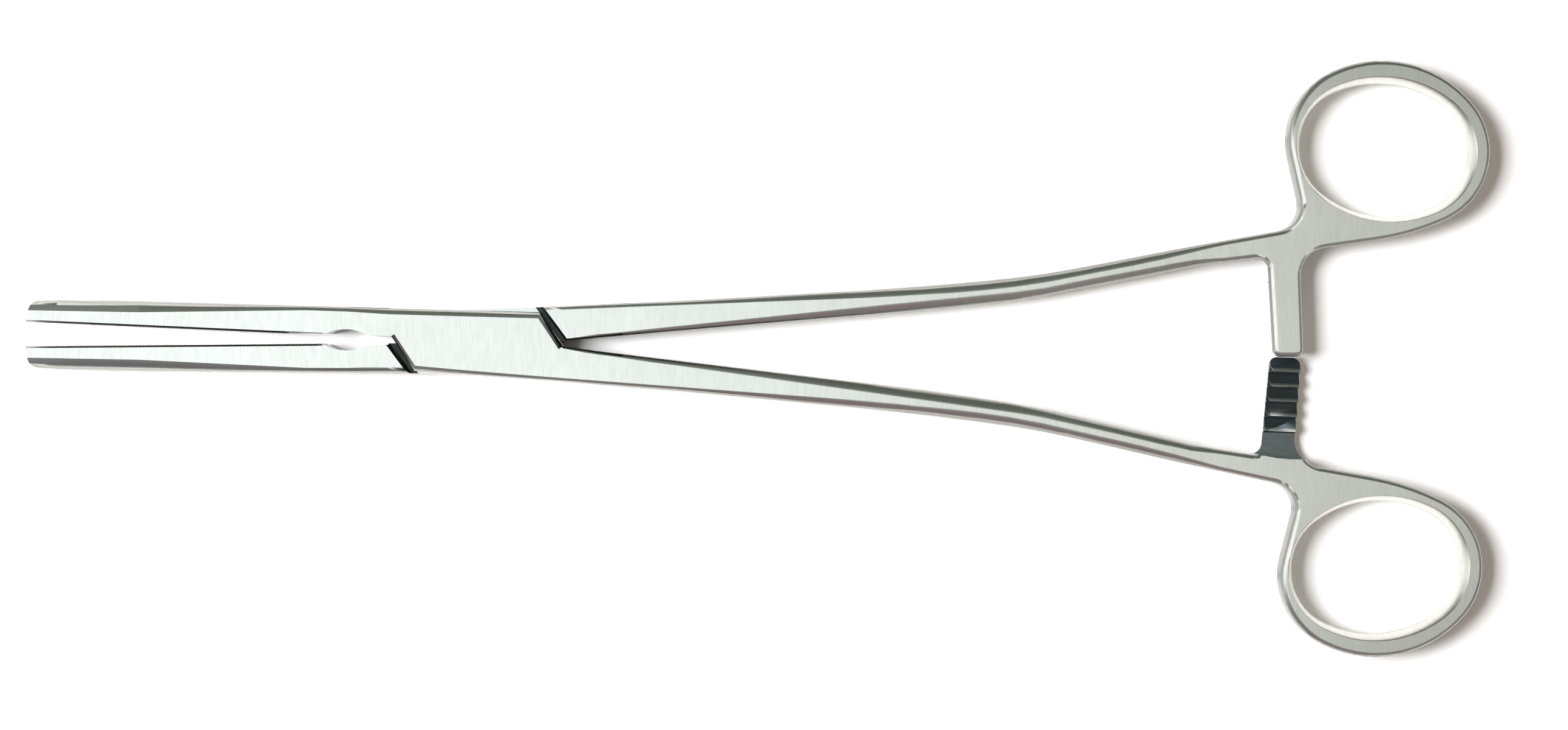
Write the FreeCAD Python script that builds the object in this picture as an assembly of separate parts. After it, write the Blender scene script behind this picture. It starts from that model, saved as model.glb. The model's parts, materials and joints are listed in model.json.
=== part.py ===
import FreeCAD, Part
import math
import os

os.makedirs("parts", exist_ok=True)

# Units are millimetres. X runs from the jaws to the finger rings, Z is up, and the
# origin is the pivot's axis on the surface that the closed box lock rests on.
# Each half is drawn in the closed position, with its jaw on +Y and its shank on -Y.

# Whole instrument
BOX_HEIGHT = 5.4
MIDDLE = BOX_HEIGHT / 2
REST_HALF_ANGLE = 1.5
CLOSED_GAP = 0.04
REACH = 30.0
OVERCUT = 1.0
ROUND_STEPS = 3

# Jaws, from the blunt nose to the box lock
NOSE_X = -71.2
NOSE_SLANT = 0.4
NOSE_FLAT = 2.1
NOSE_RADIUS_X = 2.2
JAW_ROOT_X = -14.0
JAW_NOSE_HEIGHT = 3.6
JAW_LOFT_START = -73.0
JAW_SLICES = 9
JAW_BACK = [
    # x, distance of the back from the closing line, radius of the back's edges
    (JAW_LOFT_START, 3.35, 1.55),
    (-67.0, 3.75, 1.75),
    (-56.0, 4.12, 1.9),
    (-45.0, 4.3, 1.55),
    (-37.0, 4.4, 1.15),
    (-30.0, 4.5, 0.85),
    (-24.0, 4.6, 0.7),
    (JAW_ROOT_X, 4.75, 1.0),
]
JAW_BEVEL_WIDTH = 0.35
JAW_BEVEL_DEPTH = 0.4
SERRATION_START = -70.8
SERRATION_END = -25.0
SERRATION_PITCH = 0.55
SERRATION_DEPTH = 0.26
SCALLOP_START = -24.2
SCALLOP_PEAK_X = -21.2
SCALLOP_DEPTH = 1.1
SCALLOP_END = -17.2
THROAT_GAP = 0.3

# Box lock
LOCK_WIDTH = 9.0
BOX_END_X = 13.4
BOX_JAW_SIDE_RIGHT = 5.2
BOX_SHANK_SIDE_LEFT = 4.85
BOX_SHANK_EDGE_LEFT = 0.9
LOCK_SLOPE = 54.0
PLATE_END = 10.75
PLATE_EDGE = 0.7
SHOULDER_FOOT = 11.2
SHOULDER_TOP = 11.7
TONGUE_THICKNESS = 1.9
TONGUE_CLEARANCE = 0.05
HUB_RADIUS = 5.7
HUB_CLEARANCE = 0.4
ARM_CLEARANCE = 0.05
PIN_RADIUS = 1.5
PIN_CLEARANCE = 0.05

# Finger ring with its neck and ratchet bar
RING_START_X = 117.5
RING_HEIGHT = 4.2
RING_EDGE = 0.8
RING_START_OUTER = 15.08
RING_START_INNER = 11.68
OUTER_SLOPE = -9.6
INNER_SLOPE = -6.2
BOW_CENTRE = (143.05, -29.2)
BOW_END_RADIUS = 9.3
BOW_END_SPREAD = 4.0
BOW_SIDE_BULGE = 1.15
BOW_TURN = 8.0
BOW_EDGE = 1.0
RING_WALL = 2.6
RING_OFFSET = (0.6, -0.6)
RING_END_SPREAD = 4.05
RING_SIDE_BULGE = 1.4
RING_TURN = 14.0
BODY_RADIUS = 40.0
BODY_SLOPE = -7.6
NECK_SLOPE = 78.0
NECK_RADIUS = 4.2
CROTCH_RADIUS = 1.8
BAR_ROOT_RADIUS = 4.4
BAR_LEFT_X = 124.95
BAR_LEFT_SLOPE = 87.1
BAR_RIGHT_X = 129.82
BAR_RIGHT_SLOPE = 88.4
BAR_END_Y = 3.3
BAR_END_RADIUS = 1.2

# Shank, from the box lock to the finger ring
SHANK_SLICES = 22
SHANK_START_INNER = 0.15
SHANK = [
    # x, outer edge, inner edge, height, radius of the outer and of the inner edges
    (BOX_END_X, 5.55, SHANK_START_INNER, BOX_HEIGHT, 0.65, 0.25),
    (20.0, 5.85, 0.62, 5.25, 0.75, 0.7),
    (30.0, 6.2, 1.35, 5.0, 0.85, 0.95),
    (40.0, 6.65, 2.08, 4.8, 0.95, 1.05),
    (50.0, 7.18, 2.85, 4.6, 1.1, 1.2),
    (60.0, 7.68, 3.6, 4.45, 1.3, 1.35),
    (70.0, 8.32, 4.4, 4.35, 1.6, 1.6),
    (80.0, 9.12, 5.35, 4.25, 1.7, 1.7),
    (88.0, 9.95, 6.35, 4.2, 1.6, 1.6),
    (98.0, 11.62, 8.2, 4.2, 1.5, 1.5),
    (107.0, 13.28, 9.88, 4.2, 1.4, 1.4),
    (113.0, 14.35, 11.12, 4.2, 1.1, 1.1),
    (RING_START_X, RING_START_OUTER, RING_START_INNER, RING_HEIGHT, RING_EDGE, RING_EDGE),
]

# Ratchet
TOOTH_COUNT = 5
TOOTH_PITCH = 2.36
TOOTH_DEPTH = 0.95
TOOTH_RUN = 0.3
TOOTH_CLEARANCE = 0.1
FIRST_CREST = 1.05
TOOTH_SIDE_RADIUS = 0.9
RATCHET_STEP = [(121.2, -11.5), (127.3, -12.7), (133.8, -12.1)]


def at(x, y, z=0.0):
    return FreeCAD.Vector(x, y, z)


def polygon(points):
    return Part.Wire(Part.makePolygon(points + [points[0]]))


def smooth(table, column, x):
    """Value of a column at x: a smooth curve through the rows of the table."""
    last = len(table) - 1
    slopes = []
    for index in range(last + 1):
        low = table[max(index - 1, 0)]
        high = table[min(index + 1, last)]
        slopes.append((high[column] - low[column]) / (high[0] - low[0]))
    row = 0
    while row < last - 1 and x > table[row + 1][0]:
        row += 1
    start, end = table[row], table[row + 1]
    span = end[0] - start[0]
    share = (x - start[0]) / span
    blend = share * share * (3 - 2 * share)
    value = start[column] * (1 - blend) + end[column] * blend
    value += slopes[row] * span * share * (1 - share) ** 2
    value -= slopes[row + 1] * span * share ** 2 * (1 - share)
    return value


def spread(start, end, count):
    return [start + (end - start) * index / count for index in range(count + 1)]


def rounded_wire(corners):
    """Closed wire through square corners, each a point and the radius it is rounded by."""
    count = len(corners)
    points = []
    for index, (point, radius) in enumerate(corners):
        if radius == 0:
            points.append(point)
            continue
        back = (corners[index - 1][0] - point).normalize()
        ahead = (corners[(index + 1) % count][0] - point).normalize()
        for angle in spread(0, math.pi / 2, ROUND_STEPS):
            along_back = back * (radius * (1 - math.sin(angle)))
            points.append(point + along_back + ahead * (radius * (1 - math.cos(angle))))
    return polygon(points)


def section(x, low, high, height, low_edge, high_edge):
    """Cross-section at x, between two values of Y, with rounded edges on each side."""
    bottom = MIDDLE - height / 2
    top = MIDDLE + height / 2
    return rounded_wire([
        (at(x, low, bottom), low_edge),
        (at(x, high, bottom), high_edge),
        (at(x, high, top), high_edge),
        (at(x, low, top), low_edge),
    ])


def upright(wire, bottom, top):
    """Solid between two heights over a flat closed wire drawn at z = 0."""
    face = Part.Face(wire)
    face.translate(at(0, 0, bottom))
    return face.extrude(at(0, 0, top - bottom))


def cutter(wire):
    """Upright cutter that runs past both faces of the instrument."""
    return upright(wire, -OVERCUT, BOX_HEIGHT + OVERCUT)


def full_height(points):
    return cutter(polygon(points))


def arc(start, middle, end):
    return Part.Arc(at(*start), at(*middle), at(*end)).toShape()


def line(start, end):
    return Part.LineSegment(at(*start), at(*end)).toShape()


def heading(degrees):
    angle = math.radians(degrees)
    return at(math.cos(angle), math.sin(angle))


def meet(first, first_heading, second, second_heading):
    """Where two lines cross, each given by a point and a heading in degrees."""
    along = heading(first_heading)
    other = heading(second_heading)
    gap = second - first
    across = along.x * other.y - along.y * other.x
    return first + along * ((gap.x * other.y - gap.y * other.x) / across)


def path_edges(corners):
    """Lines through corners, each given as a point and a radius; the ends stay sharp."""
    edges = []
    last = corners[0][0]
    for index in range(1, len(corners) - 1):
        point, radius = corners[index]
        back = (corners[index - 1][0] - point).normalize()
        ahead = (corners[index + 1][0] - point).normalize()
        if radius == 0:
            edges.append(Part.LineSegment(last, point).toShape())
            last = point
            continue
        half = back.getAngle(ahead) / 2
        start = point + back * (radius / math.tan(half))
        end = point + ahead * (radius / math.tan(half))
        towards = (back + ahead).normalize()
        middle = point + towards * (radius / math.sin(half) - radius)
        edges.append(Part.LineSegment(last, start).toShape())
        edges.append(Part.Arc(start, middle, end).toShape())
        last = end
    edges.append(Part.LineSegment(last, corners[-1][0]).toShape())
    return edges


def sweep_arc(centre, radius, start, end):
    """Arc about a centre between two headings, in degrees."""
    middle = (start + end) / 2
    points = [centre + heading(angle) * radius for angle in (start, middle, end)]
    return Part.Arc(*points).toShape()


class Oval:
    """Oval of four arcs: two round its ends, and two flatter ones along its sides.

    The spread sets the centres of the ends apart, each by that much from the middle,
    and the sides bulge out beyond the straight lines that would join the ends.
    """

    def __init__(self, centre, end_radius, spread, bulge, turn):
        offset = (spread ** 2 - bulge ** 2) / (2 * bulge)
        self.end_radius = end_radius
        self.side_radius = end_radius + bulge + offset
        along = heading(turn)
        across = heading(turn + 90)
        self.right = centre + along * spread
        self.left = centre - along * spread
        self.upper = centre - across * offset
        self.lower = centre + across * offset
        to_join = self.right - self.upper
        self.join = math.degrees(math.atan2(to_join.y, to_join.x)) - turn
        self.turn = turn

    def right_end(self):
        return sweep_arc(self.right, self.end_radius, self.turn - self.join, self.turn + self.join)

    def lower_side(self):
        start = self.turn + 180 + self.join
        return sweep_arc(self.lower, self.side_radius, start, self.turn + 360 - self.join)

    def left_end(self, start):
        return sweep_arc(self.left, self.end_radius, start, self.turn + 180 + self.join)

    def upper_side(self):
        start = self.turn + self.join
        return sweep_arc(self.upper, self.side_radius, start, self.turn + 180 - self.join)

    def wire(self):
        left = self.left_end(self.turn + 180 - self.join)
        return Part.Wire([self.right_end(), self.upper_side(), left, self.lower_side()])


def edge_cutter(corner, along, length, inward, down, radius):
    """Clears what lies outside a quarter round along a straight edge.

    The corner is where the edge starts, and inward and down lead from it along the
    two faces that meet there.
    """
    centre = corner + (inward + down) * radius
    reach = radius + OVERCUT
    square = polygon([
        centre,
        centre - inward * reach,
        centre - (inward + down) * reach,
        centre - down * reach,
    ])
    block = Part.Face(square).extrude(along * length)
    return block.cut(Part.makeCylinder(radius, length, centre, along))


# Jaw

def jaw_height(x):
    """The jaw's top and underside are flat planes that draw in towards the nose."""
    share = (x - NOSE_X) / (JAW_ROOT_X - NOSE_X)
    return JAW_NOSE_HEIGHT + (BOX_HEIGHT - JAW_NOSE_HEIGHT) * share


def jaw_blank():
    wires = []
    for x in spread(JAW_LOFT_START, JAW_ROOT_X, JAW_SLICES):
        back = smooth(JAW_BACK, 1, x)
        edge = smooth(JAW_BACK, 2, x)
        wires.append(section(x, -OVERCUT, back, jaw_height(x), 0, edge))
    return Part.makeLoft(wires, True, True)


def nose_cutter():
    """Everything ahead of the blunt nose, whose outer corner is rounded."""
    shoulder = (NOSE_X + NOSE_SLANT, NOSE_FLAT)
    back = JAW_BACK[1][1]
    end = (NOSE_X + NOSE_SLANT + NOSE_RADIUS_X, back)
    middle = (
        end[0] - NOSE_RADIUS_X * math.sqrt(0.5),
        shoulder[1] + (back - shoulder[1]) * math.sqrt(0.5),
    )
    outside = (end[0], LOCK_WIDTH)
    ahead = NOSE_X - REACH
    below = -2 * OVERCUT
    edges = [
        line((NOSE_X, below), (NOSE_X, 0)),
        line((NOSE_X, 0), shoulder),
        arc(shoulder, middle, end),
        line(end, outside),
        line(outside, (ahead, LOCK_WIDTH)),
        line((ahead, LOCK_WIDTH), (ahead, below)),
        line((ahead, below), (NOSE_X, below)),
    ]
    return cutter(Part.Wire(edges))


def closing_face_cutter():
    """Clears the closing side: serrations, then the scallop, then the throat."""
    count = int((SERRATION_END - SERRATION_START) / SERRATION_PITCH)
    ahead = NOSE_X - REACH
    below = -2 * OVERCUT
    points = [(ahead, below), (ahead, CLOSED_GAP), (SERRATION_START, CLOSED_GAP)]
    for index in range(count):
        x = SERRATION_START + index * SERRATION_PITCH
        points.append((x + SERRATION_PITCH / 2, CLOSED_GAP + SERRATION_DEPTH))
        points.append((x + SERRATION_PITCH, CLOSED_GAP))
    points.append((SCALLOP_START, CLOSED_GAP))
    edges = [line(points[index], points[index + 1]) for index in range(len(points) - 1)]
    edges.append(arc(
        (SCALLOP_START, CLOSED_GAP),
        (SCALLOP_PEAK_X, SCALLOP_DEPTH),
        (SCALLOP_END, THROAT_GAP),
    ))
    edges.append(line((SCALLOP_END, THROAT_GAP), (JAW_ROOT_X, THROAT_GAP)))
    edges.append(line((JAW_ROOT_X, THROAT_GAP), (JAW_ROOT_X, below)))
    edges.append(line((JAW_ROOT_X, below), (ahead, below)))
    return cutter(Part.Wire(edges))


def bevel_cutter():
    """Wedge that follows the jaw's sloping top along its closing edge."""
    rise = OVERCUT * JAW_BEVEL_DEPTH / JAW_BEVEL_WIDTH
    wires = []
    for x in (JAW_LOFT_START - OVERCUT, SCALLOP_START):
        top = MIDDLE + jaw_height(x) / 2
        wires.append(polygon([
            at(x, CLOSED_GAP - OVERCUT, top - JAW_BEVEL_DEPTH - rise),
            at(x, CLOSED_GAP + JAW_BEVEL_WIDTH + OVERCUT, top + rise),
            at(x, CLOSED_GAP - OVERCUT, top + rise),
        ]))
    return Part.makeLoft(wires, True, True)


def jaw():
    solid = jaw_blank().cut(nose_cutter())
    solid = solid.cut(closing_face_cutter())
    upper = bevel_cutter()
    lower = upper.mirror(at(0, 0, MIDDLE), at(0, 0, 1))
    return solid.cut(upper).cut(lower)


# Box block and shank

def box_block():
    _, jaw_side, jaw_edge = JAW_BACK[-1]
    _, shank_side, _, _, shank_edge, _ = SHANK[0]
    left = section(
        JAW_ROOT_X, -BOX_SHANK_SIDE_LEFT, jaw_side, BOX_HEIGHT, BOX_SHANK_EDGE_LEFT, jaw_edge
    )
    right = section(
        BOX_END_X, -shank_side, BOX_JAW_SIDE_RIGHT, BOX_HEIGHT, shank_edge, jaw_edge
    )
    return Part.makeLoft([left, right], True, True)


def shank(end_wire):
    """Flat at the box lock, oval along its middle, and flat again at the ring."""
    wires = []
    for x in spread(BOX_END_X, RING_START_X, SHANK_SLICES)[:-1]:
        outer, inner, height, outer_edge, inner_edge = [
            smooth(SHANK, column, x) for column in range(1, 6)
        ]
        wires.append(section(x, -outer, -inner, height, outer_edge, inner_edge))
    wires.append(end_wire)
    return Part.makeLoft(wires, True, True)


# Finger ring with the ratchet bar

def bar_sides(inset):
    """A point and a heading on each side of the ratchet bar."""
    left = at(BAR_LEFT_X, 0) + heading(BAR_LEFT_SLOPE - 90) * inset
    right = at(BAR_RIGHT_X, 0) + heading(BAR_RIGHT_SLOPE + 90) * inset
    return (left, BAR_LEFT_SLOPE), (right, BAR_RIGHT_SLOPE)


def ring_outline(inset):
    """The oval, the neck up to the shank, the bar, and the body back to the oval."""
    oval = Oval(
        at(*BOW_CENTRE) + at(*RING_OFFSET),
        BOW_END_RADIUS + RING_WALL - inset,
        RING_END_SPREAD,
        RING_SIDE_BULGE,
        RING_TURN,
    )
    left, right = bar_sides(inset)
    end_point = at(0, BAR_END_Y - inset)
    outer = at(RING_START_X, -RING_START_OUTER) + heading(OUTER_SLOPE + 90) * inset
    inner = at(RING_START_X, -RING_START_INNER) + heading(INNER_SLOPE - 90) * inset
    start = at(RING_START_X - OVERCUT, 0)
    neck_start = oval.left + heading(NECK_SLOPE + 90) * oval.end_radius
    body_radius = BODY_RADIUS - inset
    body_join = oval.turn + oval.join
    body_centre = oval.right - heading(body_join) * (body_radius - oval.end_radius)
    body_end = BODY_SLOPE + 90
    body_start = body_centre + heading(body_end) * body_radius
    path = path_edges([
        (neck_start, 0),
        (meet(neck_start, NECK_SLOPE, outer, OUTER_SLOPE), NECK_RADIUS + inset),
        (meet(start, 90, outer, OUTER_SLOPE), 0),
        (meet(start, 90, inner, INNER_SLOPE), 0),
        (meet(inner, INNER_SLOPE, *left), CROTCH_RADIUS + inset),
        (meet(end_point, 0, *left), BAR_END_RADIUS - inset),
        (meet(end_point, 0, *right), BAR_END_RADIUS - inset),
        (meet(body_start, BODY_SLOPE, *right), BAR_ROOT_RADIUS + inset),
        (body_start, 0),
    ])
    body = sweep_arc(body_centre, body_radius, body_end, body_join)
    ring_arcs = [oval.right_end(), oval.lower_side(), oval.left_end(NECK_SLOPE + 90)]
    return Part.Wire(path + [body] + ring_arcs)


def bow_outline(inset):
    end_radius = BOW_END_RADIUS - inset
    return Oval(at(*BOW_CENTRE), end_radius, BOW_END_SPREAD, BOW_SIDE_BULGE, BOW_TURN).wire()


def slab(outline, edge, side):
    """Slab as high as the ring, whose rims are rounded by the edge's radius.

    The outline is a function of how far it is drawn in. The side is 1 for a slab that
    draws in towards its rims, and -1 for an opening that widens towards them.
    """
    bottom = MIDDLE - RING_HEIGHT / 2
    top = MIDDLE + RING_HEIGHT / 2
    wires = []
    for angle in spread(0, math.pi / 2, ROUND_STEPS):
        wire = outline(side * edge * (1 - math.sin(angle)))
        wires.append((wire, edge * (1 - math.cos(angle))))
    lower = [lifted(wire, bottom + rise) for wire, rise in wires]
    upper = [lifted(wire, top - rise) for wire, rise in reversed(wires)]
    return Part.makeLoft(lower + upper, True, True)


def lifted(wire, height):
    wire = wire.copy()
    wire.translate(at(0, 0, height))
    return wire


def ring():
    blank = slab(ring_outline, RING_EDGE, 1)
    start = Part.makeBox(REACH, 4 * REACH, BOX_HEIGHT, at(RING_START_X - REACH, -2 * REACH, 0))
    bow = slab(bow_outline, BOW_EDGE, -1)
    return blank.cut(start).cut(bow)


def start_face(solid):
    for face in solid.Faces:
        middle = face.CenterOfMass
        if abs(middle.x - RING_START_X) < 1e-3 and abs(face.normalAt(0, 0).x) > 0.999:
            return face
    raise ValueError("the ring has no face for the shank")


def ratchet_profile():
    """Saw-tooth line in Y and Z: each tooth rises towards the bar's foot and drops."""
    crest = MIDDLE - TOOTH_CLEARANCE / 2
    valley = crest - TOOTH_DEPTH
    line_start = FIRST_CREST + TOOTH_PITCH
    points = [(line_start + 2 * OVERCUT, valley), (line_start, valley)]
    for index in range(TOOTH_COUNT):
        y = FIRST_CREST - index * TOOTH_PITCH
        points.append((y, crest))
        points.append((y - TOOTH_RUN, valley))
    return points, valley


def ratchet_cutter():
    points, valley = ratchet_profile()
    over = BOX_HEIGHT + OVERCUT
    foot = points[-1][0] - OVERCUT
    left = RATCHET_STEP[0][0]
    right = RATCHET_STEP[2][0]
    outline = [(points[0][0], over)] + points + [(foot, valley), (foot, over)]
    teeth = Part.Face(polygon([at(left, y, z) for y, z in outline]))
    teeth = teeth.extrude(at(right - left, 0, 0))
    edges = [
        arc(*RATCHET_STEP),
        line(RATCHET_STEP[2], (right, foot)),
        line((right, foot), (left, foot)),
        line((left, foot), RATCHET_STEP[0]),
    ]
    return teeth, upright(Part.Wire(edges), valley, over)


def tooth_side_cutter():
    """Rounds the teeth's edge on the side of the jaws, along the bar's own edge."""
    crest = MIDDLE - TOOTH_CLEARANCE / 2
    foot, slope = bar_sides(0)[0]
    along = heading(slope)
    last = FIRST_CREST - (TOOTH_COUNT - 1) * TOOTH_PITCH
    start = foot + along * ((last - foot.y) / along.y) + at(0, 0, crest)
    length = FIRST_CREST + TOOTH_PITCH - last + OVERCUT
    inward = at(along.y, -along.x)
    return edge_cutter(start, along, length, inward, at(0, 0, -1), TOOTH_SIDE_RADIUS)


def half_blank():
    """One half before its share of the box lock is cut, with its ratchet on top."""
    bow = ring()
    body = shank(start_face(bow).OuterWire)
    teeth, base = ratchet_cutter()
    bow = bow.cut(teeth).cut(base).cut(tooth_side_cutter())
    return jaw().fuse([box_block(), body, bow])


# Box lock

def lock_axes():
    """Square to the slanted ends of the box lock towards the rings, and along them."""
    angle = math.radians(LOCK_SLOPE)
    normal = at(math.sin(angle), math.cos(angle))
    along = at(-math.cos(angle), math.sin(angle))
    return normal, along


def lock_line_x(distance, y):
    """X of the slanted line at a distance from the pivot, on the side of the rings."""
    normal, _ = lock_axes()
    return (distance - y * normal.y) / normal.x


def tongue_space(extra):
    """The tongue's hub and arms from above, grown by a clearance."""
    wide = LOCK_WIDTH + ARM_CLEARANCE
    bottom = MIDDLE - TONGUE_THICKNESS / 2 - TONGUE_CLEARANCE
    height = TONGUE_THICKNESS + 2 * TONGUE_CLEARANCE
    hub = Part.makeCylinder(HUB_RADIUS + extra, height, at(0, 0, bottom))
    left = Part.makeBox(REACH, wide, height, at(-REACH, -LOCK_WIDTH, bottom))
    right = Part.makeBox(REACH, wide, height, at(0, -ARM_CLEARANCE, bottom))
    return hub.fuse([left, right])


def plate_end_cutters():
    """The slanted ends of the box plates, clear of the jaw and of the shank."""
    far = LOCK_WIDTH
    left = full_height([
        at(-lock_line_x(PLATE_END, -THROAT_GAP), THROAT_GAP),
        at(-lock_line_x(PLATE_END, far), -far),
        at(-REACH, -far),
        at(-REACH, THROAT_GAP),
    ])
    right = full_height([
        at(lock_line_x(PLATE_END, -SHANK_START_INNER), -SHANK_START_INNER),
        at(lock_line_x(PLATE_END, far), far),
        at(REACH, far),
        at(REACH, -SHANK_START_INNER),
    ])
    return left, right


def plate_edge_cutters():
    """Rounds the upper and lower edge of each slanted plate end."""
    normal, along = lock_axes()
    cutters = []
    for side, gap in ((1, SHANK_START_INNER), (-1, THROAT_GAP)):
        start = at(lock_line_x(PLATE_END, -gap), -gap) * side
        for height, down in ((0, at(0, 0, 1)), (BOX_HEIGHT, at(0, 0, -1))):
            corner = start + at(0, 0, height)
            cutters.append(edge_cutter(
                corner, along * side, REACH, normal * -side, down, PLATE_EDGE
            ))
    return cutters


def bore(radius):
    return Part.makeCylinder(radius, BOX_HEIGHT + 2 * OVERCUT, at(0, 0, -OVERCUT))


def box_half():
    solid = half_blank()
    left, right = plate_end_cutters()
    solid = solid.cut(left).cut(right)
    for rounding in plate_edge_cutters():
        solid = solid.cut(rounding)
    solid = solid.cut(tongue_space(HUB_CLEARANCE))
    return solid.cut(bore(PIN_RADIUS))


def shoulder_cutter():
    """Clears the tongue's upper side between its two sloping shoulders."""
    normal, along = lock_axes()
    foot = MIDDLE + TONGUE_THICKNESS / 2
    rise = BOX_HEIGHT - foot
    wide = SHOULDER_TOP + OVERCUT * (SHOULDER_TOP - SHOULDER_FOOT) / rise
    start = along * -REACH
    wire = polygon([
        start - normal * SHOULDER_FOOT + at(0, 0, foot),
        start + normal * SHOULDER_FOOT + at(0, 0, foot),
        start + normal * wide + at(0, 0, BOX_HEIGHT + OVERCUT),
        start - normal * wide + at(0, 0, BOX_HEIGHT + OVERCUT),
    ])
    return Part.Face(wire).extrude(along * (2 * REACH))


def beside_tongue():
    """What the tongue leaves free beside its hub, for the jaw and shank of the box half."""
    tall = BOX_HEIGHT + 2 * OVERCUT
    left_length = OVERCUT - JAW_ROOT_X
    right_length = BOX_END_X + OVERCUT
    left = Part.makeBox(
        left_length, LOCK_WIDTH, tall, at(-left_length, -ARM_CLEARANCE, -OVERCUT)
    )
    right = Part.makeBox(
        right_length, LOCK_WIDTH, tall, at(0, ARM_CLEARANCE - LOCK_WIDTH, -OVERCUT)
    )
    return left.fuse(right).cut(bore(HUB_RADIUS))


def tongue_half():
    """The same blank turned over, thinned to a tongue between its shoulders."""
    solid = half_blank()
    solid.rotate(at(0, 0, MIDDLE), at(1, 0, 0), 180)
    upper = shoulder_cutter()
    lower = upper.mirror(at(0, 0, MIDDLE), at(0, 0, 1))
    solid = solid.cut(beside_tongue()).cut(upper).cut(lower)
    return solid.cut(bore(PIN_RADIUS + PIN_CLEARANCE))


def pivot_pin():
    return Part.makeCylinder(PIN_RADIUS, BOX_HEIGHT)


def export(name, solid, angle):
    solid.rotate(at(0, 0, 0), at(0, 0, 1), angle)
    if not solid.isValid():
        raise ValueError(name + " is not a valid solid")
    solid.exportStep(os.path.join("parts", name + ".step"))
    print(name, "solids", len(solid.Solids), "volume", round(solid.Volume, 1))


export("box_half", box_half(), -REST_HALF_ANGLE)
export("tongue_half", tongue_half(), REST_HALF_ANGLE)
export("pivot_pin", pivot_pin(), 0)
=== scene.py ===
"""Long ring-handled box-lock clamp in satin steel, lying on a pale table."""

import json
import math

import bpy
from mathutils import Matrix, Vector

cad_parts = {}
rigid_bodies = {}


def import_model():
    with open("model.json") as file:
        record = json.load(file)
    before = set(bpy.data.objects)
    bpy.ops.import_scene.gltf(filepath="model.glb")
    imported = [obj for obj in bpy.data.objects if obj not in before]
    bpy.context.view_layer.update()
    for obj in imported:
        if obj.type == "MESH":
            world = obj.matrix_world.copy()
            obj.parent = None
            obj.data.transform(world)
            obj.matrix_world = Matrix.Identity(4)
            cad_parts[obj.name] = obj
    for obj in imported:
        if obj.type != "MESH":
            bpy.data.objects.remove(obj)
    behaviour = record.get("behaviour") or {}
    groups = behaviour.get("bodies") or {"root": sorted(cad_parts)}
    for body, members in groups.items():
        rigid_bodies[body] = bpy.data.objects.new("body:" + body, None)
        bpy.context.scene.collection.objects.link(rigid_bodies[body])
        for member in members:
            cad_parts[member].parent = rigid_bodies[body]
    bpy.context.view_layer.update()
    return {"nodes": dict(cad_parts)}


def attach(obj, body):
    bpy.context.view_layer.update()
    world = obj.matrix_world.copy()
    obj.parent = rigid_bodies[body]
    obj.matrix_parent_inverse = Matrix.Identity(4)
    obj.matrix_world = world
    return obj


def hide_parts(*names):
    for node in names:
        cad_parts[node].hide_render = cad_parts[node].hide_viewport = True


bl_info = {
    "name": "Hysterectomy Forceps",
    "version": (1, 0, 0),
    "blender": (4, 5, 0),
    "location": "View3D > Sidebar > Forceps",
    "description": "Finishes the two halves and the pin of a box-lock clamp and lights them",
    "category": "Object",
}

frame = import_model()

MM = 0.001
WHITE = (1.0, 1.0, 1.0, 1.0)

# Merging: corners nearer than this, and faces that turn less than this, become one
MERGE_DISTANCE = 0.002 * MM
MERGE_TURN = math.radians(0.3)

# Upward part of a face's normal: the least on a flat, the least on the tongue's flats
# and most on the crotch's walls, the most on a gap's walls, and the least on the
# ratchet's teeth
FLAT = 0.99
NEARLY_FLAT = 0.9
UPRIGHT = 0.6
TILTED = 0.05
# Least level part of a normal in a finger opening, and least part of a crotch wall's
# normal that points to the other shank
LEVEL = 0.1
TOWARDS = 0.3
# How much more the large faces count for the shading than the small ones
LARGE_FACE_WEIGHT = 50

# Box lock: the slope of the plates' ends and each half's turn at rest, in degrees, how
# far from the pivot the gaps at those ends start and end, how far the lock reaches
# sideways, and the middle of its height
LOCK_SLOPE = 54.0
REST_HALF_ANGLE = 1.5
GAP_START = 10.5 * MM
GAP_END = 11.9 * MM
LOCK_REACH = 9.0 * MM
LOCK_MIDDLE = 2.7 * MM

# Tongue: half its thickness, how far off that a flat may lie, and how far from the
# pivot its flats reach along X
TONGUE_HALF = 1.05 * MM
TONGUE_SLACK = 0.1 * TONGUE_HALF
TONGUE_REACH = 2 * GAP_END

# Crotch between the shanks, which starts where the lock's gap ends
CROTCH_END = 24.0 * MM
CROTCH_REACH = 4.5 * MM

# Ratchet: where it starts and ends along X, how far out its foot is, the teeth's depth,
# and how far their crests lie from the middle of the height
RATCHET_START = 118.5 * MM
RATCHET_END = 130.5 * MM
RATCHET_FOOT = 17.0 * MM
TEETH_DEPTH = 1.15 * MM
CREST_HEIGHT = 0.05 * MM

# Finger openings: the middle of the upper one, the reach of its wall, half the wall's
# height, and the rounding of its edges as it is sawn
BOW_CENTRE = (142.24 * MM, 32.93 * MM)
BOW_REACH = 15.5 * MM
BOW_HALF_HEIGHT = 2.1 * MM
BOW_ROUNDING = 1.0 * MM
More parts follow.
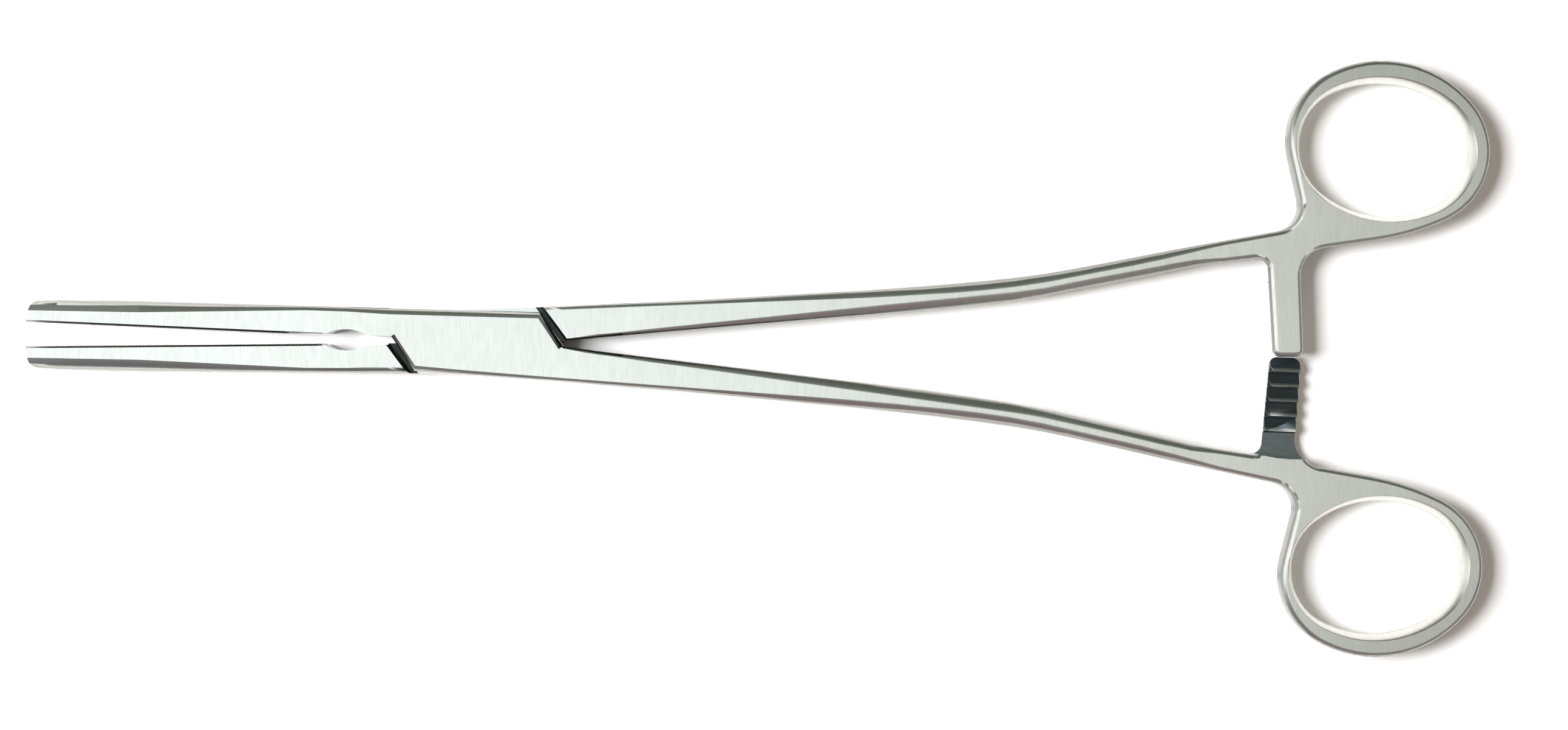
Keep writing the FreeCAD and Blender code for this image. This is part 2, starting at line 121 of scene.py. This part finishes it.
# Each pair is a height from the middle and how far the wall there lies behind its
# innermost line, as it is sawn, with a quarter round down to its flat, and as it is
# finished
SAWN_WALL = tuple(
    (
        BOW_HALF_HEIGHT - BOW_ROUNDING * (1 - math.sin(turn)),
        BOW_ROUNDING * (1 - math.cos(turn)),
    )
    for turn in map(math.radians, (90, 60, 30, 0))
)
HALF_ROUND = (
    (2.1 * MM, 1.0 * MM),
    (1.966 * MM, 0.85 * MM),
    (1.6 * MM, 0.62 * MM),
    (1.1 * MM, 0.33 * MM),
    (0.0, 0.0),
)

# Satin finish: the values that most of a noise lies between, how dark and pale the
# lines are there, how much rougher and smoother, the upward parts of a normal between
# which the flanks' painted shade begins, and the direction across the lines, a little askew
NOISE_LOW = 0.3
NOISE_HIGH = 0.7
LINE_TONES = (0.94, 1.03)
LINE_ROUGHNESS = (0.03, -0.02)
FLANK_SHADE_LEVELS = (0.6, 0.8)
ACROSS_LINES = (1.0, 0.02, 0.05)
# How many lines the pattern is moved by, so that no two pieces have the same ones
HALF_SHIFT = 13.7
PIN_SHIFT = 41.0

# Stage, in metres: the table, the softbox and the camera straight above
TABLE_SIZE = 6.0
TABLE_MIDDLE = (0.04, 0.0, 0.0)
SOFTBOX_PLACE = (-0.48, 0.05, 0.58)
SOFTBOX_TARGET = (0.044, 0.0, 0.0)
SOFTBOX_SIZE = 0.36
SOFTBOX_COLOUR = "#FCFDFF"
SENSOR_WIDTH = 36.0
CAMERA_PLACE = (0.0482, -0.0027)
CAMERA_TURN = math.radians(1.05)
CAMERA_NEAR = 0.01

# Cards round the table, which only the metal shows: name, middle of the lower and of
# the upper edge, width, colour and strength. The screens make the dark edges, the
# ceilings the pale flats.
CARDS = (
    ("screen_far", (0.04, 0.70, 0.0), (0.04, 0.19, 0.80), 1.7, "#5E655D", 1.0),
    ("screen_near_left", (-0.45, -0.70, 0.0), (-0.45, -0.24, 0.80), 0.86, "#5C5F64", 1.0),
    ("screen_near_middle", (0.105, -0.70, 0.0), (0.105, -0.24, 0.80), 0.25, "#8A7274", 1.0),
    ("screen_near_right", (0.56, -0.70, 0.0), (0.56, -0.17, 0.80), 0.66, "#8C8D8B", 1.0),
    ("screen_right", (0.95, 0.0, 0.0), (0.60, 0.0, 0.78), 1.4, "#5E655F", 1.0),
    ("screen_left", (-1.10, 0.0, 0.0), (-0.80, 0.0, 0.84), 1.6, "#FFFFFF", 1.3),
    ("ceiling_left", (-1.20, 0.0, 0.84), (-0.03, 0.0, 0.84), 0.8, "#F4FBFF", 1.51),
    ("ceiling_middle", (-0.03, 0.0, 0.84), (0.12, 0.0, 0.84), 0.8, "#E9FAFF", 1.34),
    ("ceiling_right", (0.12, 0.0, 0.84), (0.37, 0.0, 0.84), 0.8, "#F4F4EA", 1.13),
    ("ceiling_end", (0.37, 0.0, 0.84), (0.60, 0.0, 0.84), 0.8, "#F4F4EA", 0.52),
)


def linear(hex_colour):
    """sRGB hex value as the linear colour that a shader socket takes."""
    channels = [int(hex_colour[place:place + 2], 16) / 255 for place in (1, 3, 5)]
    values = []
    for channel in channels:
        if channel <= 0.04045:
            values.append(channel / 12.92)
        else:
            values.append(((channel + 0.055) / 1.055) ** 2.4)
    return (*values, 1.0)


def add_node(tree, kind, settings=None, inputs=None):
    """Adds a node; an input is a value for its socket, or an output to link to it."""
    node = tree.nodes.new(kind)
    for name, value in (settings or {}).items():
        setattr(node, name, value)
    for name, value in (inputs or {}).items():
        if isinstance(value, bpy.types.NodeSocket):
            tree.links.new(value, node.inputs[name])
        else:
            node.inputs[name].default_value = value
    return node


def new_material(name):
    material = bpy.data.materials.new(name)
    material.use_nodes = True
    material.node_tree.nodes.clear()
    return material


# Materials

def satin_steel(name, settings, shift, painted_flank_shade):
    """Martensitic stainless steel, ground on a fine belt and satin finished.

    The belt leaves fine lines across the length of the instrument, which spread a
    highlight along it, and the metal looks pale and slightly warm. Real lines lie about
    0.05 mm apart, too fine to show, so they are drawn several times coarser. The steep
    flanks get painted shade: their colour is darkened to painted_flank_shade of the flats',
    for the dark reflections along the edges; in the finger openings they get none and
    stay as pale as the flats.
    """
    material = new_material(name)
    tree = material.node_tree
    place = add_node(tree, "ShaderNodeTexCoord")
    pitch = settings.line_pitch
    run = settings.line_length
    lines_place = add_node(
        tree, "ShaderNodeMapping",
        inputs={
            "Vector": place.outputs["Object"],
            "Location": (shift, 0.0, 0.0),
            "Scale": (1 / pitch, 1 / run, 1 / run),
        },
    )
    lines = add_node(
        tree, "ShaderNodeTexNoise",
        inputs={
            "Vector": lines_place.outputs["Vector"],
            "Scale": 1.0, "Detail": 3.0, "Roughness": 0.6,
        },
    )
    patches = add_node(
        tree, "ShaderNodeTexNoise",
        inputs={
            "Vector": place.outputs["Object"],
            "Scale": 1 / settings.patch_size, "Detail": 4.0, "Roughness": 0.55,
        },
    )
    grey = add_node(
        tree, "ShaderNodeMix", {"data_type": "RGBA"},
        {
            "Factor": patches.outputs["Fac"],
            "A": linear(settings.dark_colour),
            "B": linear(settings.pale_colour),
        },
    )
    lines_tone = add_node(
        tree, "ShaderNodeMapRange",
        inputs={
            "Value": lines.outputs["Fac"],
            "From Min": NOISE_LOW, "From Max": NOISE_HIGH,
            "To Min": LINE_TONES[0], "To Max": LINE_TONES[1],
        },
    )
    facing = add_node(
        tree, "ShaderNodeSeparateXYZ", inputs={"Vector": place.outputs["Normal"]}
    )
    upward = add_node(
        tree, "ShaderNodeMath", {"operation": "ABSOLUTE"}, {0: facing.outputs["Z"]}
    )
    # Painted shade: steep faces are darkened by how far their normal turns from upright
    flank_shade_tone = add_node(
        tree, "ShaderNodeMapRange",
        inputs={
            "Value": upward.outputs["Value"],
            "From Min": FLANK_SHADE_LEVELS[0], "From Max": FLANK_SHADE_LEVELS[1],
            "To Min": painted_flank_shade, "To Max": 1.0,
        },
    )
    tone = add_node(
        tree, "ShaderNodeMath", {"operation": "MULTIPLY"},
        {0: lines_tone.outputs["Result"], 1: flank_shade_tone.outputs["Result"]},
    )
    colour = add_node(
        tree, "ShaderNodeVectorMath", {"operation": "SCALE"},
        {0: grey.outputs["Result"], "Scale": tone.outputs["Value"]},
    )
    rough = add_node(
        tree, "ShaderNodeMapRange",
        inputs={
            "Value": lines.outputs["Fac"],
            "From Min": NOISE_LOW, "From Max": NOISE_HIGH,
            "To Min": settings.roughness + LINE_ROUGHNESS[0],
            "To Max": settings.roughness + LINE_ROUGHNESS[1],
        },
    )
    bump = add_node(
        tree, "ShaderNodeBump",
        inputs={
            "Height": lines.outputs["Fac"],
            "Strength": settings.line_strength,
            "Distance": settings.line_depth,
        },
    )
    across_lines = add_node(
        tree, "ShaderNodeVectorTransform",
        {"vector_type": "VECTOR", "convert_from": "OBJECT", "convert_to": "WORLD"},
        {"Vector": ACROSS_LINES},
    )
    steel = add_node(
        tree, "ShaderNodeBsdfPrincipled",
        inputs={
            "Base Color": colour.outputs["Vector"],
            "Metallic": 1.0,
            "Anisotropic": settings.brushing,
            "Tangent": across_lines.outputs["Vector"],
            "Roughness": rough.outputs["Result"],
            "Normal": bump.outputs["Normal"],
        },
    )
    add_node(tree, "ShaderNodeOutputMaterial", inputs={"Surface": steel.outputs["BSDF"]})
    return material


def painted_shade_gap(name, settings):
    """The same steel in the lock's gaps and in the crotch, where no belt reaches.

    Its colour is painted nearly black: painted shade in these narrow gaps. It is also rough.
    """
    material = new_material(name)
    tree = material.node_tree
    place = add_node(tree, "ShaderNodeTexCoord")
    spots = add_node(
        tree, "ShaderNodeTexNoise",
        inputs={
            "Vector": place.outputs["Object"],
            "Scale": 1 / settings.spot_size, "Detail": 3.0, "Roughness": 0.6,
        },
    )
    grey = add_node(
        tree, "ShaderNodeMix", {"data_type": "RGBA"},
        {
            "Factor": spots.outputs["Fac"],
            "A": linear(settings.gap_shade_dark_colour),
            "B": linear(settings.gap_shade_pale_colour),
        },
    )
    steel = add_node(
        tree, "ShaderNodeBsdfPrincipled",
        inputs={"Base Color": grey.outputs["Result"], "Metallic": 1.0, "Roughness": 0.5},
    )
    add_node(tree, "ShaderNodeOutputMaterial", inputs={"Surface": steel.outputs["BSDF"]})
    return material


def painted_light_ratchet(name, settings):
    """The same steel as the grinding wheel leaves it between the teeth of the ratchet.

    It isn't satin finished, and its colour is painted darker and cooler than the rest:
    painted shade for the dark reflections on the teeth. Near the crests' height it is
    painted nearly white: a painted highlight along the crests.
    """
    material = new_material(name)
    tree = material.node_tree
    place = add_node(tree, "ShaderNodeTexCoord")
    pitch = settings.line_pitch
    run = settings.line_length
    marks_place = add_node(
        tree, "ShaderNodeMapping",
        inputs={
            "Vector": place.outputs["Object"],
            "Scale": (1 / run, 1 / pitch, 1 / pitch),
        },
    )
    marks = add_node(
        tree, "ShaderNodeTexNoise",
        inputs={"Vector": marks_place.outputs["Vector"], "Scale": 1.0, "Detail": 2.0},
    )
    # Painted shade: a darker, cooler grey with marks along the grinding
    grey = add_node(
        tree, "ShaderNodeMix", {"data_type": "RGBA"},
        {
            "Factor": marks.outputs["Fac"],
            "A": linear(settings.ratchet_shade_dark_colour),
            "B": linear(settings.ratchet_shade_pale_colour),
        },
    )
    height = add_node(
        tree, "ShaderNodeSeparateXYZ", inputs={"Vector": place.outputs["Object"]}
    )
    depth = add_node(
        tree, "ShaderNodeMath", {"operation": "SUBTRACT"},
        {0: height.outputs["Z"], 1: LOCK_MIDDLE},
    )
    depth = add_node(
        tree, "ShaderNodeMath", {"operation": "ABSOLUTE"}, {0: depth.outputs["Value"]}
    )
    # Painted highlight: nearly white near the crests' height
    crest_highlight = add_node(
        tree, "ShaderNodeMapRange",
        inputs={
            "Value": depth.outputs["Value"],
            "From Min": CREST_HEIGHT, "From Max": CREST_HEIGHT + settings.crest_highlight_depth,
            "To Min": 1.0, "To Max": 0.0,
        },
    )
    colour = add_node(
        tree, "ShaderNodeMix", {"data_type": "RGBA"},
        {
            "Factor": crest_highlight.outputs["Result"],
            "A": grey.outputs["Result"],
            "B": linear(settings.crest_highlight_colour),
        },
    )
    steel = add_node(
        tree, "ShaderNodeBsdfPrincipled",
        inputs={"Base Color": colour.outputs["Result"], "Metallic": 1.0, "Roughness": 0.32},
    )
    add_node(tree, "ShaderNodeOutputMaterial", inputs={"Surface": steel.outputs["BSDF"]})
    return material


def seen_directly(tree):
    """1 for what the camera sees, also in metal or through glass, and 0 for other light."""
    path = add_node(tree, "ShaderNodeLightPath")
    seen = add_node(
        tree, "ShaderNodeMath", {"operation": "MAXIMUM"},
        {0: path.outputs["Is Camera Ray"], 1: path.outputs["Is Glossy Ray"]},
    )
    seen = add_node(
        tree, "ShaderNodeMath", {"operation": "MAXIMUM"},
        {0: seen.outputs["Value"], 1: path.outputs["Is Transmission Ray"]},
    )
    return seen.outputs["Value"]


def white_laminate(settings):
    """Matt white laminate of the table.

    It shows as plain white and keeps the deeper soft shadows.
    """
    material = new_material("white_laminate")
    tree = material.node_tree
    lift = add_node(
        tree, "ShaderNodeMath", {"operation": "MULTIPLY"},
        {0: seen_directly(tree), 1: settings.floor_lift},
    )
    laminate = add_node(
        tree, "ShaderNodeBsdfDiffuse", inputs={"Color": linear(settings.floor_colour)}
    )
    lifted = add_node(tree, "ShaderNodeBsdfDiffuse", inputs={"Color": lift.outputs["Value"]})
    both = add_node(
        tree, "ShaderNodeAddShader",
        inputs={0: laminate.outputs["BSDF"], 1: lifted.outputs["BSDF"]},
    )
    add_node(tree, "ShaderNodeOutputMaterial", inputs={"Surface": both.outputs["Shader"]})
    return material


def glow(name, colour, strength):
    """Lit card: an even glow."""
    material = new_material(name)
    tree = material.node_tree
    light = add_node(
        tree, "ShaderNodeEmission", inputs={"Color": linear(colour), "Strength": strength}
    )
    add_node(tree, "ShaderNodeOutputMaterial", inputs={"Surface": light.outputs["Emission"]})
    return material


# Rules that pick faces

def is_flat(face):
    return abs(face.normal.z) > FLAT


def is_rounding(face):
    return not is_flat(face)


def bow_centre(side):
    return Vector((BOW_CENTRE[0], side * BOW_CENTRE[1], LOCK_MIDDLE))


def in_bow_wall(face, centre):
    """Faces of the finger opening, which look towards its middle."""
    inward = centre - face.center
    inward.z = 0.0
    level = Vector((face.normal.x, face.normal.y, 0.0))
    return inward.length < BOW_REACH and level.length > LEVEL and inward.dot(level) > 0.0


def in_ratchet(face, side):
    """Faces of the ratchet's teeth and of the step at their foot."""
    depth = (face.center.z - LOCK_MIDDLE) * side
    beside = abs(face.center.y) < RATCHET_FOOT and RATCHET_START < face.center.x < RATCHET_END
    return beside and 0.0 < depth < TEETH_DEPTH and abs(face.normal.z) > TILTED


def across_gap(side):
    """Direction square to the plates' slanted ends; it turns with the half."""
    slant = math.radians(LOCK_SLOPE - side * REST_HALF_ANGLE)
    return Vector((math.sin(slant), math.cos(slant), 0.0))


def is_tongue_flat(face):
    height = abs(face.center.z - LOCK_MIDDLE)
    near = abs(face.center.x) < TONGUE_REACH and abs(face.center.y) < LOCK_REACH
    flat = abs(face.normal.z) > NEARLY_FLAT
    return near and flat and abs(height - TONGUE_HALF) < TONGUE_SLACK


def in_lock_gap(face, direction):
    """Faces in the gaps between the box plates' ends and the tongue half's shoulders."""
    shows = abs(face.normal.z) < UPRIGHT or is_tongue_flat(face)
    distance = abs(face.center.dot(direction))
    return shows and GAP_START < distance < GAP_END and abs(face.center.y) < LOCK_REACH


def in_crotch(face, side):
    """Walls of the narrow crotch between the shanks, just behind the lock."""
    near = GAP_END < face.center.x < CROTCH_END and abs(face.center.y) < CROTCH_REACH
    return near and abs(face.normal.z) < NEARLY_FLAT and face.normal.y * side < -TOWARDS


# Pieces

def deselect():
    bpy.ops.object.select_all(action="DESELECT")


def pick_faces(piece, picks):
    """Selects the faces of a mesh, in face mode, that a rule picks."""
    bpy.ops.object.mode_set(mode="EDIT")
    bpy.ops.mesh.select_mode(type="FACE")
    bpy.ops.mesh.select_all(action="DESELECT")
    bpy.ops.object.mode_set(mode="OBJECT")
    for face in piece.data.polygons:
        face.select = picks(face)


def merged_copy(node_name, piece_name):
    """Joins the loose triangles of a CAD node's copy, so that it can shade smoothly."""
    node = frame["nodes"][node_name]
    deselect()
    node.select_set(True)
    bpy.context.view_layer.objects.active = node
    bpy.ops.object.duplicate()
    piece = bpy.context.view_layer.objects.active
    piece.name = piece_name
    piece.data.name = piece_name
    if piece.parent is not None:
        bpy.ops.object.parent_clear(type="CLEAR_KEEP_TRANSFORM")
    bpy.ops.object.mode_set(mode="EDIT")
    bpy.ops.mesh.select_all(action="SELECT")
    bpy.ops.mesh.remove_doubles(threshold=MERGE_DISTANCE)
    bpy.ops.mesh.dissolve_limited(angle_limit=MERGE_TURN)
    bpy.ops.object.mode_set(mode="OBJECT")
    return piece


def shade(piece, angle):
    """Smooth where the surface turns gently, sharp where two faces meet at an edge.

    The upper and lower flats count most, so that they stay flat up to the rounded
    edges beside them.
    """
    deselect()
    piece.select_set(True)
    bpy.context.view_layer.objects.active = piece
    bpy.ops.object.shade_smooth_by_angle(angle=angle)
    for strength, picks in (("WEAK", is_rounding), ("STRONG", is_flat)):
        pick_faces(piece, picks)
        bpy.ops.object.mode_set(mode="EDIT")
        bpy.ops.mesh.mod_weighted_strength(set=True, face_strength=strength)
        bpy.ops.object.mode_set(mode="OBJECT")
    modifier = piece.modifiers.new("flat faces stay flat", "WEIGHTED_NORMAL")
    modifier.weight = LARGE_FACE_WEIGHT
    modifier.keep_sharp = True
    modifier.use_face_influence = True


def wall_depth(wall, height):
    """How far a wall lies behind its innermost line, at a height from the middle."""
    for (high, outer), (low, inner) in zip(wall, wall[1:]):
        if height >= low:
            share = (height - low) / (high - low)
            return inner + (outer - inner) * min(share, 1.0)
    return wall[-1][1]


def round_bow(piece, side):
    """Grinds the wall of the finger opening to a half round, where a finger lies."""
    centre = bow_centre(side)
    pick_faces(piece, lambda face: in_bow_wall(face, centre))
    bpy.ops.object.mode_set(mode="EDIT")
    bpy.ops.mesh.bisect(plane_co=(0.0, 0.0, LOCK_MIDDLE), plane_no=(0.0, 0.0, 1.0))
    bpy.ops.object.mode_set(mode="OBJECT")
    inward = {}
    for face in piece.data.polygons:
        if in_bow_wall(face, centre):
            level = Vector((face.normal.x, face.normal.y, 0.0)).normalized()
            for index in face.vertices:
                inward[index] = inward.get(index, Vector()) + level
    for index, direction in inward.items():
        vertex = piece.data.vertices[index]
        height = abs(vertex.co.z - LOCK_MIDDLE)
        behind = wall_depth(HALF_ROUND, height) - wall_depth(SAWN_WALL, height)
        vertex.co -= direction.normalized() * behind


def part_tongue(piece, side):
    """Parts the tongue's flats along the gaps, so that only what lies there gets painted
    shade.
    """
    direction = across_gap(side)
    for reach in (-GAP_END, -GAP_START, GAP_START, GAP_END):
        pick_faces(piece, is_tongue_flat)
        bpy.ops.object.mode_set(mode="EDIT")
        bpy.ops.mesh.bisect(plane_co=direction * reach, plane_no=direction)
        bpy.ops.object.mode_set(mode="OBJECT")


def cover(piece, material):
    """Gives a piece one finish all over."""
    piece.data.materials.clear()
    piece.data.materials.append(material)


def refinish(piece, material, picks):
    """Gives the faces that a rule picks another finish."""
    piece.data.materials.append(material)
    place = len(piece.data.materials) - 1
    for face in piece.data.polygons:
        if picks(face):
            face.material_index = place


def finish_half(piece, side, settings):
    """Satin steel all over, then painted shade in the gaps, painted shade and a painted
    highlight on the ratchet, and the finger opening, whose flanks get no painted shade.

    side is 1 for the half whose ring lies at +Y, and -1 for the other.
    """
    direction = across_gap(side)
    centre = bow_centre(side)
    shift = HALF_SHIFT * side
    satin = satin_steel(piece.name + "_steel", settings, shift, settings.painted_flank_shade)
    cover(piece, satin)
    # Painted shade: the lock's gaps and the crotch's walls get a nearly black colour
    refinish(
        piece, painted_shade_gap(piece.name + "_gap_painted_shade_steel", settings),
        lambda face: in_lock_gap(face, direction) or in_crotch(face, side),
    )
    # Painted shade and a painted highlight on the ratchet's teeth
    refinish(
        piece, painted_light_ratchet(piece.name + "_ratchet_painted_light_steel", settings),
        lambda face: in_ratchet(face, side),
    )
    # The finger opening's walls get no painted shade on their flanks
    refinish(
        piece, satin_steel(piece.name + "_bow_steel", settings, shift, 1.0),
        lambda face: in_bow_wall(face, centre),
    )


class ForcepsSteel(bpy.types.PropertyGroup):
    """Finish of the steel."""

    pale_colour: bpy.props.StringProperty(
        name="Pale steel", description="Colour of the steel where it is palest",
        default="#E7E7E2",
    )
    dark_colour: bpy.props.StringProperty(
        name="Dark steel", description="Colour of the steel where it is darkest",
        default="#DBDAD4",
    )
    patch_size: bpy.props.FloatProperty(
        name="Patch size", description="Size of the paler and darker patches",
        default=14.0 * MM, unit="LENGTH",
    )
    # Painted shade on the steep flanks: the share of the flats' brightness that they keep
    painted_flank_shade: bpy.props.FloatProperty(
        name="Flank share", description="How pale the flanks are next to the flats",
        default=0.42, min=0.0, max=1.0, subtype="FACTOR",
    )
    roughness: bpy.props.FloatProperty(
        name="Roughness", description="How far the satin finish spreads a highlight",
        default=0.32, min=0.05, max=0.9, subtype="FACTOR",
    )
    brushing: bpy.props.FloatProperty(
        name="Brushing", description="How much more the lines spread light along the length",
        default=0.75, min=0.0, max=1.0, subtype="FACTOR",
    )
    line_pitch: bpy.props.FloatProperty(
        name="Line pitch", description="Distance between the belt's lines",
        default=0.28 * MM, unit="LENGTH",
    )
    line_length: bpy.props.FloatProperty(
        name="Line length", description="Length of the belt's lines",
        default=3.0 * MM, unit="LENGTH",
    )
    line_depth: bpy.props.FloatProperty(
        name="Line depth", description="Depth of the belt's lines",
        default=0.012 * MM, unit="LENGTH",
    )
    line_strength: bpy.props.FloatProperty(
        name="Line strength", description="How much of the lines' depth shows",
        default=0.08, min=0.0, max=1.0, subtype="FACTOR",
    )
    # Painted shade in the lock's gaps and the crotch: its pale and dark colours and its spots
    gap_shade_pale_colour: bpy.props.StringProperty(
        name="Pale gap", description="Colour of the dull steel where it is palest",
        default="#5A615D",
    )
    gap_shade_dark_colour: bpy.props.StringProperty(
        name="Dark gap", description="Colour of the dull steel where it is darkest",
        default="#3A403E",
    )
    spot_size: bpy.props.FloatProperty(
        name="Spot size", description="Size of the spots in the dull steel",
        default=1.2 * MM, unit="LENGTH",
    )
    # Painted shade and highlight on the ratchet: its darker colours, the crests' colour, and
    # its reach
    ratchet_shade_pale_colour: bpy.props.StringProperty(
        name="Pale ratchet", description="Colour of the ground steel where it is palest",
        default="#7E8689",
    )
    ratchet_shade_dark_colour: bpy.props.StringProperty(
        name="Dark ratchet", description="Colour of the ground steel where it is darkest",
        default="#5C646B",
    )
    crest_highlight_colour: bpy.props.StringProperty(
        name="Rubbed crest", description="Colour of the ratchet's crests", default="#F2F3F2"
    )
    crest_highlight_depth: bpy.props.FloatProperty(
        name="Rubbed depth", description="How far down from a crest the rubbing reaches",
        default=0.25 * MM, unit="LENGTH",
    )
    smooth_angle: bpy.props.FloatProperty(
        name="Edge angle", description="Faces that meet at more than this stay sharp",
        default=math.radians(33.0), min=math.radians(5.0), max=math.radians(90.0),
        subtype="ANGLE",
    )


class ForcepsStage(bpy.types.PropertyGroup):
    """Table, light and camera."""

    floor_colour: bpy.props.StringProperty(
        name="Table", description="Colour of the table", default="#F8F8F8"
    )
    floor_lift: bpy.props.FloatProperty(
        name="Table lift", description="How much brighter the table shows than its colour",
        default=0.6, min=0.0, max=1.0, subtype="FACTOR",
    )
    fill: bpy.props.FloatProperty(
        name="Fill", description="Strength of the light from all sides",
        default=0.2, min=0.0, max=1.0, subtype="FACTOR",
    )
    fill_colour: bpy.props.StringProperty(
        name="Fill colour", description="Colour of the light from all sides",
        default="#FFF1E2",
    )
    key_power: bpy.props.FloatProperty(
        name="Key power", description="Power of the softbox on the left",
        default=7.3, unit="POWER",
    )
    lens: bpy.props.FloatProperty(
        name="Lens", description="Focal length of the camera", default=46.1, unit="CAMERA"
    )
    camera_height: bpy.props.FloatProperty(
        name="Camera height", description="Height of the camera above the table",
        default=0.320, unit="LENGTH",
    )


class FORCEPS_OT_halves(bpy.types.Operator):
    """Finishes the box half and the tongue half in satin steel"""

    bl_idname = "forceps.halves"
    bl_label = "Finish the halves"

    def execute(self, context):
        settings = context.scene.forceps_steel
        for name, side in (("box_half", -1), ("tongue_half", 1)):
            piece = merged_copy(name, name + "_satin")
            round_bow(piece, side)
            if name == "tongue_half":
                part_tongue(piece, side)
            shade(piece, settings.smooth_angle)
            finish_half(piece, side, settings)
            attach(piece, name)
            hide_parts(name)
        return {"FINISHED"}


class FORCEPS_OT_pin(bpy.types.Operator):
    """Finishes the pivot pin, whose ends are ground flush with the box plates"""

    bl_idname = "forceps.pin"
    bl_label = "Finish the pivot pin"

    def execute(self, context):
        settings = context.scene.forceps_steel
        piece = merged_copy("pivot_pin", "pivot_pin_satin")
        shade(piece, settings.smooth_angle)
        # Painted shade on the pin's steep flanks, as on the halves
        steel = satin_steel("pivot_pin_satin_steel", settings, PIN_SHIFT, settings.painted_flank_shade)
        cover(piece, steel)
        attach(piece, "box_half")
        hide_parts("pivot_pin")
        return {"FINISHED"}


# Stage

def card(name, low, high, width, colour, strength):
    """Card between the middles of its lower and upper edges; it shows only in the metal."""
    low = Vector(low)
    high = Vector(high)
    along = (high - low).normalized()
    across = along.cross(Vector((0.0, 0.0, 1.0))).normalized()
    turn = Matrix((across, along, across.cross(along))).transposed().to_euler()
    deselect()
    bpy.ops.mesh.primitive_plane_add(size=1.0, location=(low + high) / 2, rotation=turn)
    piece = bpy.context.view_layer.objects.active
    piece.name = name
    piece.scale = (width, (high - low).length, 1.0)
    cover(piece, glow(name, colour, strength))
    piece.visible_camera = False
    piece.visible_diffuse = False
    piece.visible_shadow = False


def softbox(power):
    """Softbox on the left, which lights the table; the metal doesn't show it."""
    data = bpy.data.lights.new("softbox_left", "AREA")
    data.shape = "RECTANGLE"
    data.size = SOFTBOX_SIZE
    data.size_y = SOFTBOX_SIZE
    data.energy = power
    data.color = linear(SOFTBOX_COLOUR)[:3]
    light = bpy.data.objects.new("softbox_left", data)
    bpy.context.scene.collection.objects.link(light)
    light.location = SOFTBOX_PLACE
    facing = Vector(SOFTBOX_TARGET) - Vector(SOFTBOX_PLACE)
    light.rotation_euler = facing.to_track_quat("-Z", "Y").to_euler()
    light.visible_glossy = False


def white_tent(settings):
    """White all round to the camera and in the metal, and an even fill elsewhere."""
    world = bpy.data.worlds.new("white_tent")
    world.use_nodes = True
    tree = world.node_tree
    tree.nodes.clear()
    seen = seen_directly(tree)
    colour = add_node(
        tree, "ShaderNodeMix", {"data_type": "RGBA"},
        {"Factor": seen, "A": linear(settings.fill_colour), "B": WHITE},
    )
    strength = add_node(
        tree, "ShaderNodeMapRange",
        inputs={"Value": seen, "To Min": settings.fill, "To Max": 1.0},
    )
    tent = add_node(
        tree, "ShaderNodeBackground",
        inputs={"Color": colour.outputs["Result"], "Strength": strength.outputs["Result"]},
    )
    add_node(tree, "ShaderNodeOutputWorld", inputs={"Surface": tent.outputs["Background"]})
    bpy.context.scene.world = world


def camera_above(settings):
    """Camera straight above the table, turned a little, as in the photo."""
    data = bpy.data.cameras.new("camera")
    data.sensor_width = SENSOR_WIDTH
    data.lens = settings.lens
    data.clip_start = CAMERA_NEAR
    camera = bpy.data.objects.new("camera", data)
    bpy.context.scene.collection.objects.link(camera)
    camera.location = (*CAMERA_PLACE, settings.camera_height)
    camera.rotation_euler = (0.0, 0.0, CAMERA_TURN)
    bpy.context.scene.camera = camera


class FORCEPS_OT_stage(bpy.types.Operator):
    """Adds the table, the light and the camera straight above"""

    bl_idname = "forceps.stage"
    bl_label = "Set the stage"

    def execute(self, context):
        settings = context.scene.forceps_stage
        context.scene.view_settings.view_transform = "Standard"
        deselect()
        bpy.ops.mesh.primitive_plane_add(size=TABLE_SIZE, location=TABLE_MIDDLE)
        table = context.view_layer.objects.active
        table.name = "table"
        cover(table, white_laminate(settings))
        white_tent(settings)
        softbox(settings.key_power)
        for placing in CARDS:
            card(*placing)
        camera_above(settings)
        return {"FINISHED"}


class FORCEPS_PT_panel(bpy.types.Panel):
    """Lists the steps that finish the forceps"""

    bl_idname = "FORCEPS_PT_panel"
    bl_label = "Forceps"
    bl_space_type = "VIEW_3D"
    bl_region_type = "UI"
    bl_category = "Forceps"

    def draw(self, context):
        for operator in OPERATORS:
            self.layout.operator(operator.bl_idname)


OPERATORS = (FORCEPS_OT_halves, FORCEPS_OT_pin, FORCEPS_OT_stage)
CLASSES = (ForcepsSteel, ForcepsStage, *OPERATORS, FORCEPS_PT_panel)


def register():
    for part in CLASSES:
        bpy.utils.register_class(part)
    bpy.types.Scene.forceps_steel = bpy.props.PointerProperty(type=ForcepsSteel)
    bpy.types.Scene.forceps_stage = bpy.props.PointerProperty(type=ForcepsStage)


def unregister():
    del bpy.types.Scene.forceps_stage
    del bpy.types.Scene.forceps_steel
    for part in reversed(CLASSES):
        bpy.utils.unregister_class(part)


def main():
    register()
    bpy.ops.forceps.halves()
    bpy.ops.forceps.pin()
    bpy.ops.forceps.stage()


if __name__ == "__main__":
    main()
